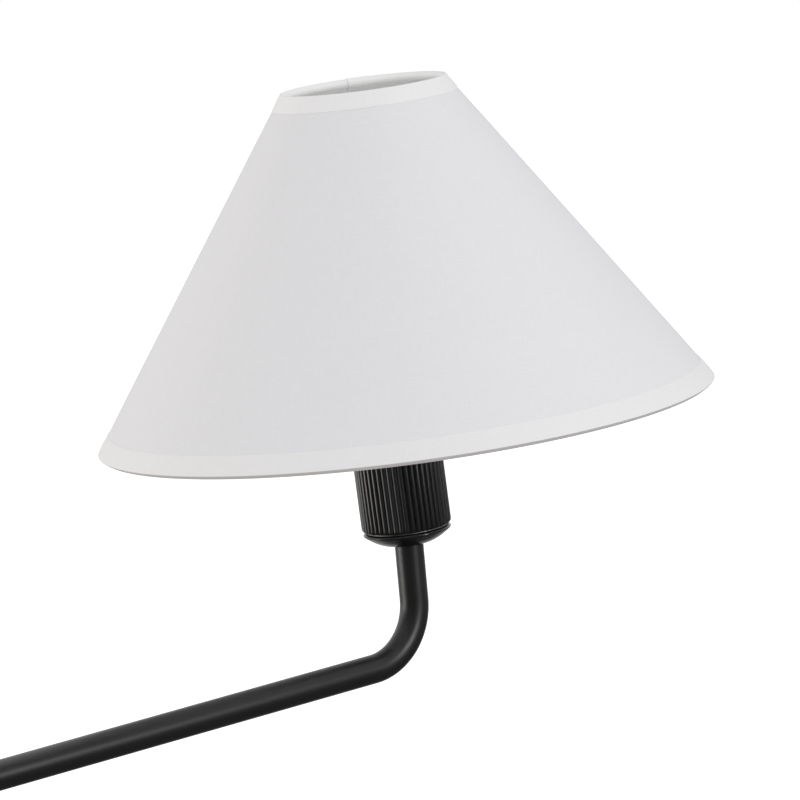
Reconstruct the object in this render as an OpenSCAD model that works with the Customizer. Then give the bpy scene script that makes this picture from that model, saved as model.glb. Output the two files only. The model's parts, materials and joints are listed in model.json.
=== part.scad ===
// Swing arm wall sconce: a round canopy, two jointed tube arms and a cone shade on a ribbed lampholder.
// Millimetres. The origin is on the wall at the middle of the canopy, +Z is up and +Y goes into the wall.

/* [Arms] */
// Outside diameter of the stem and arm tubes
tube_d = 12.7; // [10:0.1:16]
// Wall of the stem and arm tubes
tube_wall = 1.3; // [0.8:0.1:1.8]
// Wall swivel from the canopy's face
stem_reach = 36; // [30:1:90]
// Inner arm, wall swivel to elbow
inner_len = 250; // [150:1:400]
// Outer arm, elbow to lampholder
outer_len = 300; // [200:1:450]
// Centreline radius of the bend below the lampholder
bend_r = 27; // [20:1:45]
// Straight tube above the bend
stub_len = 23.3; // [12:0.1:80]
// Turn of the inner arm to the left of straight out
inner_turn = 30; // [0:1:60]
// Turn of the outer arm out from level with the wall
outer_turn = 20; // [0:1:60]

/* [Swivels] */
// Wall of the swivel cups
cup_wall = 2; // [1.5:0.1:4]
// Web of a swivel cup, which the pivot clamps
cup_web = 3.5; // [3.2:0.1:6]
// Thickness of the washer between two cups
washer_t = 0.8; // [0.5:0.1:2]
// Outside radius of the washer
washer_r = 7.3; // [6.5:0.1:7.6]
// Diameter of the hollow threaded pivots
thread_d = 10; // [9:0.1:10]
// Bore of the pivots
thread_bore = 6.6; // [5:0.1:7]
// Wall of the nipple under the lampholder
nipple_wall = 1.5; // [1.2:0.1:1.6]
// Across flats of the pivot's head and of the locknuts
nut_af = 14; // [13:0.5:16]
// Height of the pivot's head and of the locknuts
nut_h = 3; // [2:0.5:5]
// Height of the conical spring washer
spring_h = 1; // [0.8:0.1:2]
// Height of a cup's domed cap
dome_h = 3; // [1:0.5:8]
// Depth of a cap's plug
plug_h = 3; // [2:0.5:6]
// Diameter of the stop pin
stop_d = 2; // [1.5:0.1:2.4]
// Depth of the stop groove
groove_h = 2.2; // [1.5:0.1:2.6]
// Swing of the inner arm to each side
inner_swing = 90; // [45:1:120]
// Swing of the outer arm to each side of the inner arm's line
outer_swing = 150; // [60:1:155]

/* [Canopy] */
// Diameter of the canopy
canopy_d = 120; // [116:1:160]
// Depth of the canopy
canopy_h = 24; // [23:0.5:40]
// Wall of the canopy
canopy_wall = 1.2; // [0.8:0.1:2]
// Radius of the canopy's front edge
canopy_edge = 6; // [2:0.5:8]
// Diameter of the mounting plate
plate_d = 102; // [100:1:112]
// Thickness of the mounting plate
plate_t = 1.5; // [1:0.1:3]
// Hole for the house wiring
plate_hole = 28; // [20:1:32]
// Smallest spacing of the wall box screws
box_min = 69.85; // [66:0.05:74]
// Largest spacing of the wall box screws
box_max = 88.9; // [80:0.05:90]
// Width of the slots for the wall box screws
slot_w = 4.8; // [4:0.1:5.5]
// Spacing of the two canopy studs
stud_gap = 88.9; // [80:0.1:90]
// Diameter of the canopy studs
stud_d = 4; // [3:0.1:5]
// Diameter of the canopy's cap nuts
cap_nut_d = 9; // [8:0.1:11]
// Switch below the middle of the canopy
switch_drop = 32; // [31:0.5:36]
// Side of the square switch body
switch_w = 20; // [18:0.5:22]
// Depth of the switch body
switch_h = 11; // [8:0.5:13]
// Diameter of the switch knob
knob_d = 16; // [15:0.5:22]
// Length of the switch knob
knob_h = 14; // [10:0.5:25]

/* [Lampholder] */
// Diameter over the lampholder's ribs
holder_d = 39.6; // [38:0.1:46]
// Ribs round the lampholder
ribs = 48; // [24:1:60]
// Depth of the grooves between the ribs
rib_h = 0.9; // [0.4:0.1:1.2]
// Height of the ribbed cap with its foot
holder_h = 34.5; // [33:0.1:50]
// Wall of the ribbed cap, over its ribs
holder_wall = 2.6; // [2.2:0.1:3.2]
// Chamfer round the foot of the ribs
holder_chamfer = 1.6; // [0.5:0.1:2.5]
// Height of the dish under the lampholder
dish_h = 7.3; // [6:0.1:12]
// Drop from the dish's top plate to its widest edge
dish_crown = 1.4; // [0.8:0.1:2]
// Diameter of the dish
dish_d = 38.8; // [37:0.1:46]
// Sheet of the dish
dish_t = 1; // [0.8:0.1:2]
// Diameter of the threaded skirt
skirt_d = 35.8; // [34.8:0.1:36.4]
// Height of the threaded skirt above the ribbed cap
skirt_h = 22; // [16:1:30]
// Pitch of the skirt's thread
skirt_pitch = 2; // [1.5:0.1:3]
// Diameter of the ring that clamps the shade
clamp_d = 46; // [44:1:56]
// Height of the ring that clamps the shade
clamp_h = 8; // [6:1:14]
// Diameter of the screw shell's bore
shell_d = 27.2; // [27:0.1:27.6]

/* [Bulb] */
// Diameter of the bulb's screw cap
bulb_cap_d = 26.2; // [26:0.1:26.4]
// Diameter of the glass
bulb_d = 60; // [45:1:70]
// Diameter of the glass's neck
bulb_neck = 27.6; // [27:0.1:29]
// Length of the bulb, contact to crown
bulb_len = 108; // [95:1:120]

/* [Shade] */
// Diameter of the shade at its bottom edge
shade_bottom = 271.3; // [220:0.1:340]
// Diameter of the shade at its top edge
shade_top = 72.2; // [60:0.1:120]
// Height of the shade
shade_h = 145.4; // [120:0.1:200]
// Shade to one side of the lampholder's axis, as its frame was bent
shade_off = 6.2; // [0:0.1:8]
// Bottom edge of the shade above the frame's hub
spider_drop = 15.8; // [8:0.1:30]
// Thickness of the cotton cover
cover_t = 0.4; // [0.3:0.1:1]
// Thickness of the stiff lining
lining_t = 0.4; // [0.3:0.1:1]
// Thickness of the edge tape
tape_t = 0.25; // [0.2:0.05:0.8]
// Width of the bottom edge's tape outside
tape_w = 9.4; // [8:0.1:16]
// Width of the top edge's tape outside
top_tape_w = 8.2; // [6:0.1:16]
// Width of the edge tapes inside, past their fold over the wire
tape_in = 1.3; // [0.5:0.1:12]
// Diameter of the wire rings
wire_d = 2.5; // [2:0.1:4]
// Diameter of the frame's three arms
spoke_d = 3; // [2:0.1:4]
// Thickness of the frame's hub
hub_t = 1.6; // [1:0.1:3]
// Rim of the frame's hub past the clamping ring
hub_rim = 1.5; // [1:0.1:3]

/* [Wiring] */
// Diameter of the round lamp cable
cable_d = 4; // [3:0.1:4.4]
// Diameter of one insulated core
core_d = 1.8; // [1.2:0.1:2]
// Radius of the cable's turns inside the swivels
cable_turn = 5; // [4.6:0.1:5.4]

/* [Fits] */
// Radial clearance of pivots, pins and threads
fit = 0.05; // [0.02:0.01:0.1]
// Radial clearance of holes that a screw or tube passes through
ease = 0.15; // [0.1:0.05:0.3]

/* [Hidden] */
$fn = 96;
eps = 0.01;
small_fn = 48;

tube_r = tube_d / 2;
thread_r = thread_d / 2;
cable_r = cable_d / 2;
core_r = core_d / 2;
nut_corner = nut_af / 2 / cos(30);

// Swivel cup: what its height and radius have to hold
thread_proud = 1;
cable_gap = 1.5;
web_gap = 2;
plug_gap = 0.65;
nut_gap = 1.1;
seat_depth = 0.68;
pivot_proud = cup_web + spring_h + nut_h + thread_proud;
tube_rise = max(pivot_proud + cable_gap + cable_r, cup_web + web_gap + tube_r);
cup_h = tube_rise + tube_r + plug_gap + plug_h;
tube_seat = nut_corner + nut_gap;
cavity_r = norm([tube_seat, tube_r]) - seat_depth;
cup_r = cavity_r + cup_wall;
cup_edge = 0.6;

// Stop: the pin stands in the lower cup and runs in the upper cup's groove
groove_in = 0.75;
groove_r = (washer_r + cup_r) / 2 - groove_in;
groove_w = stop_d + 0.5;
stop_sunk = 2.5;
stop_gap = 0.4;
stop_play = 1.5;
stop_margin = asin(stop_d / 2 / groove_r) + stop_play;

// Levels of the three tubes and of the two joint planes between them
level = 2 * tube_rise + washer_t;
joint_1 = level / 2;
inner_z = level;
joint_2 = 1.5 * level;
outer_z = 2 * level;

// Places of the vertical axes
pivot_out = canopy_h + stem_reach;
inner_heading = -90 - inner_turn;
elbow_x = inner_len * cos(inner_heading);
elbow_y = -pivot_out + inner_len * sin(inner_heading);
head_x = elbow_x + outer_len * cos(outer_turn);
head_y = elbow_y - outer_len * sin(outer_turn);

// Levels up the lampholder
tube_top = outer_z + bend_r + stub_len;
dish_top = tube_top + dish_h;
holder_top = dish_top + holder_h;
shade_base = holder_top + spider_drop;
skirt_top = holder_top + skirt_h;
holder_floor = 4;
nipple_r = tube_r - tube_wall - fit;
nipple_in = 8;
nipple_top = dish_top + holder_floor + nut_h + thread_proud;
cable_top = nipple_top + 1;
terminal_x = 9;
terminal_r = 1.5;
terminal_in = 5.5;
holder_bore = holder_d / 2 - holder_wall;
ledge_r = holder_bore - 2.2;
core_h = 9;
plug_in = 9;
core_top = holder_top - plug_in;
core_foot = core_top - core_h;
boss_h = 2;
shell_t = 0.6;
shell_h = 24;
shell_gap = 0.9;
shell_foot = core_top + boss_h;
skirt_bore = shell_d / 2 + shell_t + shell_gap;
contact_h = 2;
bulb_foot = shell_foot + contact_h;
glass_foot = skirt_top - 2;
tip_r = 3.5;
tip_h = 1.2;

// Canopy parts, outwards from the wall
front_in = canopy_h - canopy_wall;
stem_in = front_in - 9;
stem_nut_h = 4;
stem_nut_af = tube_d + 6.3;
collar_h = 6;
collar_r = tube_r + 5.5;
collar_edge = 2;
cable_end = stem_in - 2;
stud_proud = 5;
bush_h = 4;
bush_nut_h = 2;
shaft_r = 3;
switch_in = front_in - switch_h;
shaft_end = 2.5;

// Wire connectors and the leads in them
connector_r = 5.6;
connector_h = 22;
connector_x = 14;
connector_z = 22;
connector_out = 9;
lead_in = 12;

// Earth screw and the two lugs of its lead
earth_x = 24;
earth_z = -16;
earth_r = 1.75;
earth_far = norm([earth_x, earth_z]);
lug_t = 0.5;
stem_lug_r = stem_nut_af / 2 / cos(30) + core_d + 0.3;
screw_lug_r = 5;

// Shade section: unit vectors down the side's normal and up its slope
side = norm([(shade_bottom - shade_top) / 2, shade_h]);
slope_r = -(shade_bottom - shade_top) / 2 / side;
slope_z = shade_h / side;
wall_t = cover_t + lining_t;
wire_in = wall_t + wire_d / 2 + fit;
bend_turn = 36.8;
shade_side = outer_turn + bend_turn;
shade_x = head_x + shade_off * cos(shade_side);
shade_y = head_y - shade_off * sin(shade_side);
spoke_turn = 90;
hub_r = clamp_d / 2 + hub_rim;
spoke_gap = 0.25;

// ---- shared shapes ----

module level_rod(r, x0, x1, z) translate([x0, 0, z]) rotate([0, 90, 0]) cylinder(h = x1 - x0, r = r);

module upright(r, x, z0, z1) translate([x, 0, z0]) cylinder(h = z1 - z0, r = r);

// Quarter bend from +X travel to upward travel, ending at x
module bend_up(r, turn, x, z) translate([x - turn, 0, z + turn]) rotate([90, 0, 0]) rotate([0, 0, -90])
    rotate_extrude(angle = 90) translate([turn, 0]) circle(r);

// Quarter bend from upward travel at x to +X travel at height z
module bend_out(r, turn, x, z) translate([x + turn, 0, z - turn]) rotate([90, 0, 0]) rotate([0, 0, 90])
    rotate_extrude(angle = 90) translate([turn, 0]) circle(r);

// Frames: outwards from the wall, along each arm, at each joint plane, and up each lamp axis
module out_of_wall() rotate([90, 0, 0]) children();
module along_earth() out_of_wall() rotate([0, 0, atan2(earth_z, earth_x)]) children();
module along_stem() rotate([0, 0, -90]) children();
module along_inner() translate([0, -pivot_out, 0]) rotate([0, 0, inner_heading]) children();
module along_outer() translate([elbow_x, elbow_y, 0]) rotate([0, 0, -outer_turn]) children();
module at_wall_joint() along_stem() translate([pivot_out, 0, joint_1]) children();
module at_elbow_joint() along_inner() translate([inner_len, 0, joint_2]) children();
module up_head(z = 0) translate([head_x, head_y, z]) children();
module up_shade() translate([shade_x, shade_y, 0]) children();

// Straight rod from a to b
module rod_between(a, b, r) {
    run = b - a;
    translate(a) rotate([0, acos(run.z / norm(run)), atan2(run.y, run.x)])
        cylinder(h = norm(run), r = r, $fn = small_fn);
}

function unit(v) = v / norm(v);

// Lean of a smooth curve at its point i: along its neighbours, and no longer than the nearer one is away
function lean(p, i) = i == 0 ? p[1] - p[0] : i == len(p) - 1 ? p[i] - p[i - 1] :
    min(norm(p[i + 1] - p[i]), norm(p[i] - p[i - 1])) * unit(p[i + 1] - p[i - 1]);

// Point at share t of the way from p[i] to p[i + 1] on that curve
function on_curve(p, i, t) = let (u = 1 - t)
    u * u * (1 + 2 * t) * p[i] + t * u * u * lean(p, i)
    + t * t * (1 + 2 * u) * p[i + 1] - t * t * u * lean(p, i + 1);

// Side directions carried along the curve's directions without twist
function carry(way, side_way, i = 0) = i == len(way) ? [] :
    let (next = unit(side_way - (side_way * way[i]) * way[i])) concat([next], carry(way, next, i + 1));

// Insulated core: an eight-sided tube swept along a smooth curve through the points
module wire(points, r) {
    sides = 8;
    steps = 4;
    end = len(points) - 1;
    path = concat([for (i = [0:end - 1], k = [0:steps - 1]) on_curve(points, i, k / steps)], [points[end]]);
    last = len(path) - 1;
    way = concat([unit(points[1] - points[0])], [for (i = [1:last - 1]) unit(path[i + 1] - path[i - 1])],
        [unit(points[end] - points[end - 1])]);
    across = carry(way, [0.31, 0.52, 0.79]);
    polyhedron([for (i = [0:last], k = [0:sides - 1]) let (a = k * 360 / sides)
            path[i] + r * (cos(a) * across[i] + sin(a) * cross(way[i], across[i]))],
        concat([[for (k = [sides - 1:-1:0]) k]], [[for (k = [0:sides - 1]) last * sides + k]],
        [for (i = [0:last - 1], k = [0:sides - 1]) let (n = (k + 1) % sides)
            [i * sides + k, i * sides + n, (i + 1) * sides + n, (i + 1) * sides + k]]));
}

module hex_nut(af, h, bore_r) difference() {
    cylinder(h = h, r = af / 2 / cos(30), $fn = 6);
    translate([0, 0, -1]) cylinder(h = h + 2, r = bore_r);
}

// ---- swivels, about the joint plane at z = 0 ----

// Lower cup: face under the washer, open below, tube arriving from -X
module lower_cup() translate([0, 0, -washer_t / 2]) difference() {
    rotate_extrude() polygon([[0, 0], [cup_r - cup_edge, 0], [cup_r, -cup_edge], [cup_r, -cup_h],
        [cavity_r, -cup_h], [cavity_r, -cup_web], [0, -cup_web]]);
    translate([0, 0, -cup_web - 1]) cylinder(h = cup_web + 2, r = thread_r + fit);
    level_rod(tube_r + fit, -cup_r - 1, -tube_seat, -tube_rise);
    translate([-groove_r, 0, -stop_sunk]) cylinder(h = stop_sunk + 1, r = stop_d / 2 + fit, $fn = small_fn);
}

// Upper cup: face on the washer, open above, tube leaving to +X, stop groove of swing degrees each way
module upper_cup(swing) translate([0, 0, washer_t / 2]) difference() {
    rotate_extrude() polygon([[0, 0], [cup_r - cup_edge, 0], [cup_r, cup_edge], [cup_r, cup_h],
        [cavity_r, cup_h], [cavity_r, cup_web], [0, cup_web]]);
    translate([0, 0, -1]) cylinder(h = cup_web + 2, r = thread_r + fit);
    level_rod(tube_r + fit, tube_seat, cup_r + 1, tube_rise);
    rotate([0, 0, 180 - swing - stop_margin]) rotate_extrude(angle = 2 * (swing + stop_margin))
        translate([groove_r - groove_w / 2, -1]) square([groove_w, groove_h + 1]);
}

// Domed cap with its plug, closing an upper cup
module cup_cap() {
    step = 15;
    band = min(1, dome_h / 3);
    plug_r = cavity_r - fit;
    translate([0, 0, washer_t / 2]) rotate_extrude() polygon(concat(
        [[0, cup_h - plug_h], [plug_r, cup_h - plug_h], [plug_r, cup_h], [cup_r, cup_h]],
        [for (a = [0:step:90]) [cup_r * cos(a), cup_h + band + (dome_h - band) * sin(a)]]));
}

// Hollow pivot: hex head under the lower web, thread through both webs
module pivot() difference() {
    shank = washer_t / 2 + cup_web;
    union() {
        translate([0, 0, -shank - nut_h]) cylinder(h = nut_h, r = nut_corner, $fn = 6);
        translate([0, 0, -shank - eps])
            cylinder(h = shank + eps + washer_t / 2 + pivot_proud, r = thread_r);
    }
    translate([0, 0, -cup_h]) cylinder(h = 2 * cup_h, r = thread_bore / 2);
}

module joint_washer() translate([0, 0, -washer_t / 2]) difference() {
    cylinder(h = washer_t, r = washer_r);
    translate([0, 0, -1]) cylinder(h = washer_t + 2, r = thread_r + fit);
}

module spring_washer() {
    sheet = 0.6;
    outer = nut_af / 2;
    translate([0, 0, washer_t / 2 + cup_web]) rotate_extrude() polygon([[outer, 0], [outer, sheet],
        [thread_r + ease, spring_h], [thread_r + ease, spring_h - sheet]]);
}

module pivot_locknut() translate([0, 0, washer_t / 2 + cup_web + spring_h])
    hex_nut(nut_af, nut_h, thread_r + fit);

module stop_pin() translate([-groove_r, 0, -washer_t / 2 - stop_sunk])
    cylinder(h = stop_sunk + washer_t + groove_h - stop_gap, r = stop_d / 2, $fn = small_fn);

// ---- canopy, fixed to the wall ----

module slot(length, width) {
    square([width, length - width], center = true);
    for (s = [-1, 1]) translate([0, s * (length - width) / 2]) circle(width / 2, $fn = small_fn);
}

module mounting_plate() color("silver") out_of_wall() difference() {
    cylinder(h = plate_t, r = plate_d / 2);
    translate([0, 0, -1]) linear_extrude(plate_t + 2) {
        circle(plate_hole / 2);
        for (s = [-1, 1]) {
            translate([0, s * (box_min + box_max) / 4]) slot((box_max - box_min) / 2 + slot_w, slot_w);
            translate([s * stud_gap / 2, 0]) circle(stud_d / 2 + fit);
        }
        translate([earth_x, earth_z]) circle(earth_r + fit);
    }
}

module canopy_studs() color("silver") out_of_wall() for (s = [-1, 1])
    translate([s * stud_gap / 2, 0, 0]) cylinder(h = canopy_h + stud_proud, r = stud_d / 2);

// Cap nuts: a hexagon under a dome, over the end of each stud
module canopy_cap_nuts() color("black") out_of_wall() for (s = [-1, 1])
    translate([s * stud_gap / 2, 0, canopy_h]) difference() {
        hex_h = 3.5;
        dome_r = cap_nut_d / 2 - 0.9;
        dome_foot = stud_proud - 0.5;
        union() {
            cylinder(h = hex_h, r = cap_nut_d / 2, $fn = 6);
            cylinder(h = dome_foot, r = dome_r);
            translate([0, 0, dome_foot]) intersection() {
                sphere(dome_r);
                cylinder(h = cap_nut_d, r = cap_nut_d);
            }
        }
        translate([0, 0, -1]) cylinder(h = stud_proud + 1 + fit, r = stud_d / 2 + fit);
    }

module earth_screw() color("green") out_of_wall() translate([earth_x, earth_z, 0]) {
    seat = plate_t + lug_t;
    head_h = 2.2;
    head_r = 3.2;
    slit_w = 0.8;
    cylinder(h = seat + eps, r = earth_r, $fn = small_fn);
    difference() {
        translate([0, 0, seat]) cylinder(h = head_h, r = head_r, $fn = 6);
        translate([-head_r - 1, -slit_w / 2, seat + head_h - slit_w])
            cube([2 * head_r + 2, slit_w, slit_w + 1]);
    }
}

// Ring lugs: one round the stem under its locknut, one under the earth screw
module earth_lugs() color("silver") along_earth() {
    translate([0, 0, front_in - lug_t]) difference() {
        cylinder(h = lug_t, r = stem_lug_r);
        translate([0, 0, -1]) cylinder(h = lug_t + 2, r = tube_r + ease);
    }
    translate([earth_far, 0, plate_t]) difference() {
        cylinder(h = lug_t, r = screw_lug_r, $fn = small_fn);
        translate([0, 0, -1]) cylinder(h = lug_t + 2, r = earth_r + ease, $fn = small_fn);
    }
}

module earth_lead() color("yellowgreen") along_earth() {
    near_x = stem_lug_r - core_r;
    far_x = earth_far - screw_lug_r + core_r;
    high = front_in - lug_t;
    low = plate_t + lug_t;
    straight = 3;
    wire([[near_x, 0, high], [near_x, 0, high - straight], [(near_x + far_x) / 2, 0, (high + low) / 2],
        [far_x, 0, low + straight], [far_x, 0, low]], core_r);
}

// Cut through the canopy's front
module front_hole(place, r) translate([place.x, place.y, front_in - 1])
    cylinder(h = canopy_wall + 2, r = r);

module canopy() color("black") out_of_wall() {
    step = 15;
    flat = canopy_d / 2 - canopy_edge;
    rise = canopy_h - canopy_edge;
    inner_edge = canopy_edge - canopy_wall;
    difference() {
        rotate_extrude() polygon(concat([[canopy_d / 2 - canopy_wall, 0], [canopy_d / 2, 0]],
            [for (a = [0:step:90]) [flat + canopy_edge * cos(a), rise + canopy_edge * sin(a)]],
            [[0, canopy_h], [0, front_in]],
            [for (a = [90:-step:0]) [flat + inner_edge * cos(a), rise + inner_edge * sin(a)]]));
        front_hole([0, 0], tube_r + ease);
        for (s = [-1, 1]) front_hole([s * stud_gap / 2, 0], stud_d / 2 + ease);
        front_hole([0, -switch_drop], thread_r + ease);
    }
}

module stem() color("black") along_stem() difference() {
    level_rod(tube_r, stem_in, pivot_out - tube_seat, 0);
    level_rod(tube_r - tube_wall, stem_in - 1, pivot_out, 0);
}

module stem_locknut() color("goldenrod") out_of_wall() translate([0, 0, front_in - lug_t - stem_nut_h])
    hex_nut(stem_nut_af, stem_nut_h, tube_r + fit);

module stem_collar() color("black") out_of_wall() translate([0, 0, canopy_h]) rotate_extrude()
    polygon(concat([[tube_r + fit, 0], [collar_r, 0]],
        [for (a = [0:15:90]) [collar_r, collar_h] - collar_edge * [1 - cos(a), 1 - sin(a)]],
        [[tube_r + fit, collar_h]]));

module stem_cable() color("white") along_stem() {
    level_rod(cable_r, cable_end, pivot_out - cable_turn, 0);
    bend_up(cable_r, cable_turn, pivot_out, 0);
    upright(cable_r, pivot_out, cable_turn, joint_1);
}

// Neutral core to its connector, line core to the switch, and the switch's core to the other connector
module canopy_leads() color("white") out_of_wall() {
    side_y = switch_w / 2 - switch_drop;
    side_out = front_in - switch_h / 2;
    core_x = core_r + fit;
    line_x = 0.1 * switch_w;
    back_x = -0.3 * switch_w;
    straight = 2;
    bow = 0.36 * connector_x;
    wire([[core_x, 0, cable_end], [core_x, 0, cable_end - straight],
        [0.43 * connector_x, 0.55 * connector_z, 0.94 * connector_out],
        [connector_x - bow, connector_z - straight, connector_out],
        [connector_x, connector_z, connector_out],
        [connector_x + lead_in, connector_z, connector_out]], core_r);
    wire([[-core_x, 0, cable_end], [-core_x, 0, cable_end - straight],
        [-line_x, side_y / 2, 1.1 * connector_out],
        [line_x, side_y + 2 * straight, side_out], [line_x, side_y, side_out]], core_r);
    wire([[back_x, side_y, side_out], [back_x, side_y + 2 * straight, side_out],
        [-connector_x, -0.36 * connector_z, connector_out],
        [-0.93 * connector_x, 0.45 * connector_z, 0.94 * connector_out],
        [bow - connector_x, connector_z - straight, connector_out],
        [-connector_x, connector_z, connector_out],
        [-connector_x - lead_in, connector_z, connector_out]], core_r);
}

module wire_connectors() color("red") out_of_wall() for (s = [0, 1]) mirror([s, 0, 0])
    translate([connector_x, connector_z, connector_out]) rotate([0, 90, 0]) difference() {
        wall = 1.4;
        mouth = 3;
        cylinder(h = connector_h, r1 = connector_r, r2 = connector_r - wall, $fn = small_fn);
        translate([0, 0, -1]) cylinder(h = mouth + 1, r = connector_r - wall, $fn = small_fn);
        cylinder(h = lead_in + 1, r = core_r + ease, $fn = small_fn);
    }

// ---- switch in the canopy ----

module at_switch(out) out_of_wall() translate([0, -switch_drop, out]) children();

module switch_body() color("saddlebrown") difference() {
    union() {
        at_switch(switch_in) translate([-switch_w / 2, -switch_w / 2, 0])
            cube([switch_w, switch_w, switch_h]);
        at_switch(front_in - eps) cylinder(h = canopy_wall + bush_h + eps, r = thread_r);
    }
    at_switch(switch_in + shaft_end - 0.5) cylinder(h = canopy_h, r = shaft_r + fit);
}

module switch_nut() color("silver") at_switch(canopy_h) hex_nut(nut_af, bush_nut_h, thread_r + fit);

// Knob on its shaft: grip flutes above a plain foot, and a recess over the switch's bush
module switch_knob() color("black") at_switch(0) {
    foot = canopy_h + bush_nut_h + 0.6;
    recess = bush_h - bush_nut_h + 0.2;
    shaft_foot = switch_in + shaft_end;
    edge = 1;
    grips = 12;
    grip_r = 1.6;
    translate([0, 0, shaft_foot]) cylinder(h = foot + recess + 2 - shaft_foot, r = shaft_r);
    difference() {
        union() {
            translate([0, 0, foot]) cylinder(h = knob_h - edge, r = knob_d / 2);
            translate([0, 0, foot + knob_h - edge]) cylinder(h = edge, r = knob_d / 2 - edge);
        }
        for (i = [0:grips - 1]) rotate([0, 0, i * 360 / grips])
            translate([(knob_d + grip_r) / 2, 0, foot + 3]) cylinder(h = knob_h, r = grip_r, $fn = 24);
        translate([0, 0, foot - 1]) cylinder(h = recess + 1, r = thread_r + 0.6);
    }
}

// ---- wall swivel ----

module stem_cup() color("black") at_wall_joint() lower_cup();
module stem_cup_cap() color("black") at_wall_joint() mirror([0, 0, 1]) cup_cap();
module wall_pivot() color("goldenrod") at_wall_joint() pivot();
module wall_washer() color("white") at_wall_joint() joint_washer();
module wall_spring_washer() color("silver") at_wall_joint() spring_washer();
module wall_locknut() color("goldenrod") at_wall_joint() pivot_locknut();
module wall_stop_pin() color("silver") at_wall_joint() stop_pin();

// ---- inner arm ----

module inner_wall_cup() color("black") along_inner() translate([0, 0, joint_1]) upper_cup(inner_swing);
module inner_wall_cap() color("black") along_inner() translate([0, 0, joint_1]) cup_cap();

module inner_tube() color("black") along_inner() difference() {
    level_rod(tube_r, tube_seat, inner_len - tube_seat, inner_z);
    level_rod(tube_r - tube_wall, 0, inner_len, inner_z);
}

module inner_elbow_cup() color("black") at_elbow_joint() lower_cup();
module inner_elbow_cap() color("black") at_elbow_joint() mirror([0, 0, 1]) cup_cap();
module elbow_pivot() color("goldenrod") at_elbow_joint() pivot();
module elbow_washer() color("white") at_elbow_joint() joint_washer();
module elbow_spring_washer() color("silver") at_elbow_joint() spring_washer();
module elbow_locknut() color("goldenrod") at_elbow_joint() pivot_locknut();
module elbow_stop_pin() color("silver") at_elbow_joint() stop_pin();

module inner_cable() color("white") along_inner() {
    upright(cable_r, 0, joint_1, inner_z - cable_turn);
    bend_out(cable_r, cable_turn, 0, inner_z);
    level_rod(cable_r, cable_turn, inner_len - cable_turn, inner_z);
    bend_up(cable_r, cable_turn, inner_len, inner_z);
    upright(cable_r, inner_len, inner_z + cable_turn, joint_2);
}

// ---- outer arm ----

module outer_cup() color("black") along_outer() translate([0, 0, joint_2]) upper_cup(outer_swing);
module outer_cup_cap() color("black") along_outer() translate([0, 0, joint_2]) cup_cap();

// The outer tube's route at radius r, run on past both ends by over
module outer_route(r, over) {
    translate([outer_len - bend_r, 0, outer_z]) rotate([0, -90, 0])
        cylinder(h = outer_len - bend_r - tube_seat + over, r = r);
    bend_up(r, bend_r, outer_len, outer_z);
    translate([outer_len, 0, outer_z + bend_r]) cylinder(h = stub_len + over, r = r);
}

module outer_tube() color("black") along_outer() difference() {
    outer_route(tube_r, 0);
    outer_route(tube_r - tube_wall, 1);
}

module outer_cable() color("white") along_outer() {
    upright(cable_r, 0, joint_2, outer_z - cable_turn);
    bend_out(cable_r, cable_turn, 0, outer_z);
    translate([outer_len - bend_r, 0, outer_z]) rotate([0, -90, 0])
        cylinder(h = outer_len - bend_r - cable_turn, r = cable_r);
    bend_up(cable_r, bend_r, outer_len, outer_z);
    upright(cable_r, outer_len, outer_z + bend_r, cable_top);
}

// Two cores from the cable's end to the terminals under the core
module lamp_leads() color("white") up_head(cable_top) {
    rise = core_foot - cable_top;
    near_x = core_r + fit;
    far_x = terminal_x - 2;
    side_y = 3.6;
    for (s = [-1, 1]) wire([[s * near_x, 0, 0], [s * near_x, 0, 0.08 * rise],
        [s * (near_x + 0.3), 0.2, 0.25 * rise], [s * (near_x + far_x) / 2, side_y / 2, rise / 2],
        [s * (far_x - 0.3), side_y - 0.2, 0.75 * rise], [s * far_x, side_y, 0.92 * rise],
        [s * far_x, side_y, rise]], core_r);
}

// ---- lampholder ----

module lamp_nipple() color("goldenrod") up_head() difference() {
    foot = tube_top - nipple_in;
    translate([0, 0, foot]) cylinder(h = nipple_top - foot, r = nipple_r);
    translate([0, 0, foot - 1]) cylinder(h = nipple_top - foot + 2, r = nipple_r - nipple_wall);
}

module lamp_locknut() color("goldenrod") up_head(dish_top + holder_floor)
    hex_nut(nut_af, nut_h, nipple_r + fit);

// Dish: spun bowl with a shoulder above its widest edge, and a top plate that carries the lampholder
module lamp_dish() color("black") up_head(tube_top) {
    foot = tube_r + 0.2;
    wide = dish_d / 2;
    rim_h = dish_h - dish_crown;
    edge = 0.4;
    bowl_h = rim_h - edge;
    reach = wide - edge / 2 - foot;
    plate_r = wide - 1.6;
    plate_h = 0.3;
    inner_h = bowl_h - dish_t;
    flange = holder_bore - 3;
    rotate_extrude() polygon(concat([[nipple_r + fit, 0]],
        [for (u = [0:0.125:1]) [foot + reach * u, bowl_h * pow(u, 1.9)]],
        [[wide, rim_h], [wide - edge, rim_h + edge], [plate_r + plate_h, dish_h - plate_h],
        [plate_r, dish_h - plate_h], [plate_r, dish_h],
        [flange, dish_h], [flange, dish_h - dish_t], [plate_r - 1, dish_h - dish_t]],
        [for (u = [1:-0.125:0]) [foot + (reach - 1.4 * dish_t) * u, dish_t + inner_h * pow(u, 1.9)]],
        [[nipple_r + fit, dish_t]]));
}

module rib_outline() {
    rib_r = PI * (holder_d - rib_h) / ribs / 2;
    circle(holder_d / 2 - rib_h);
    for (i = [0:ribs - 1]) rotate([0, 0, (i + 0.5) * 360 / ribs]) translate([holder_d / 2 - rib_r, 0])
        circle(rib_r, $fn = 24);
}

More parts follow.
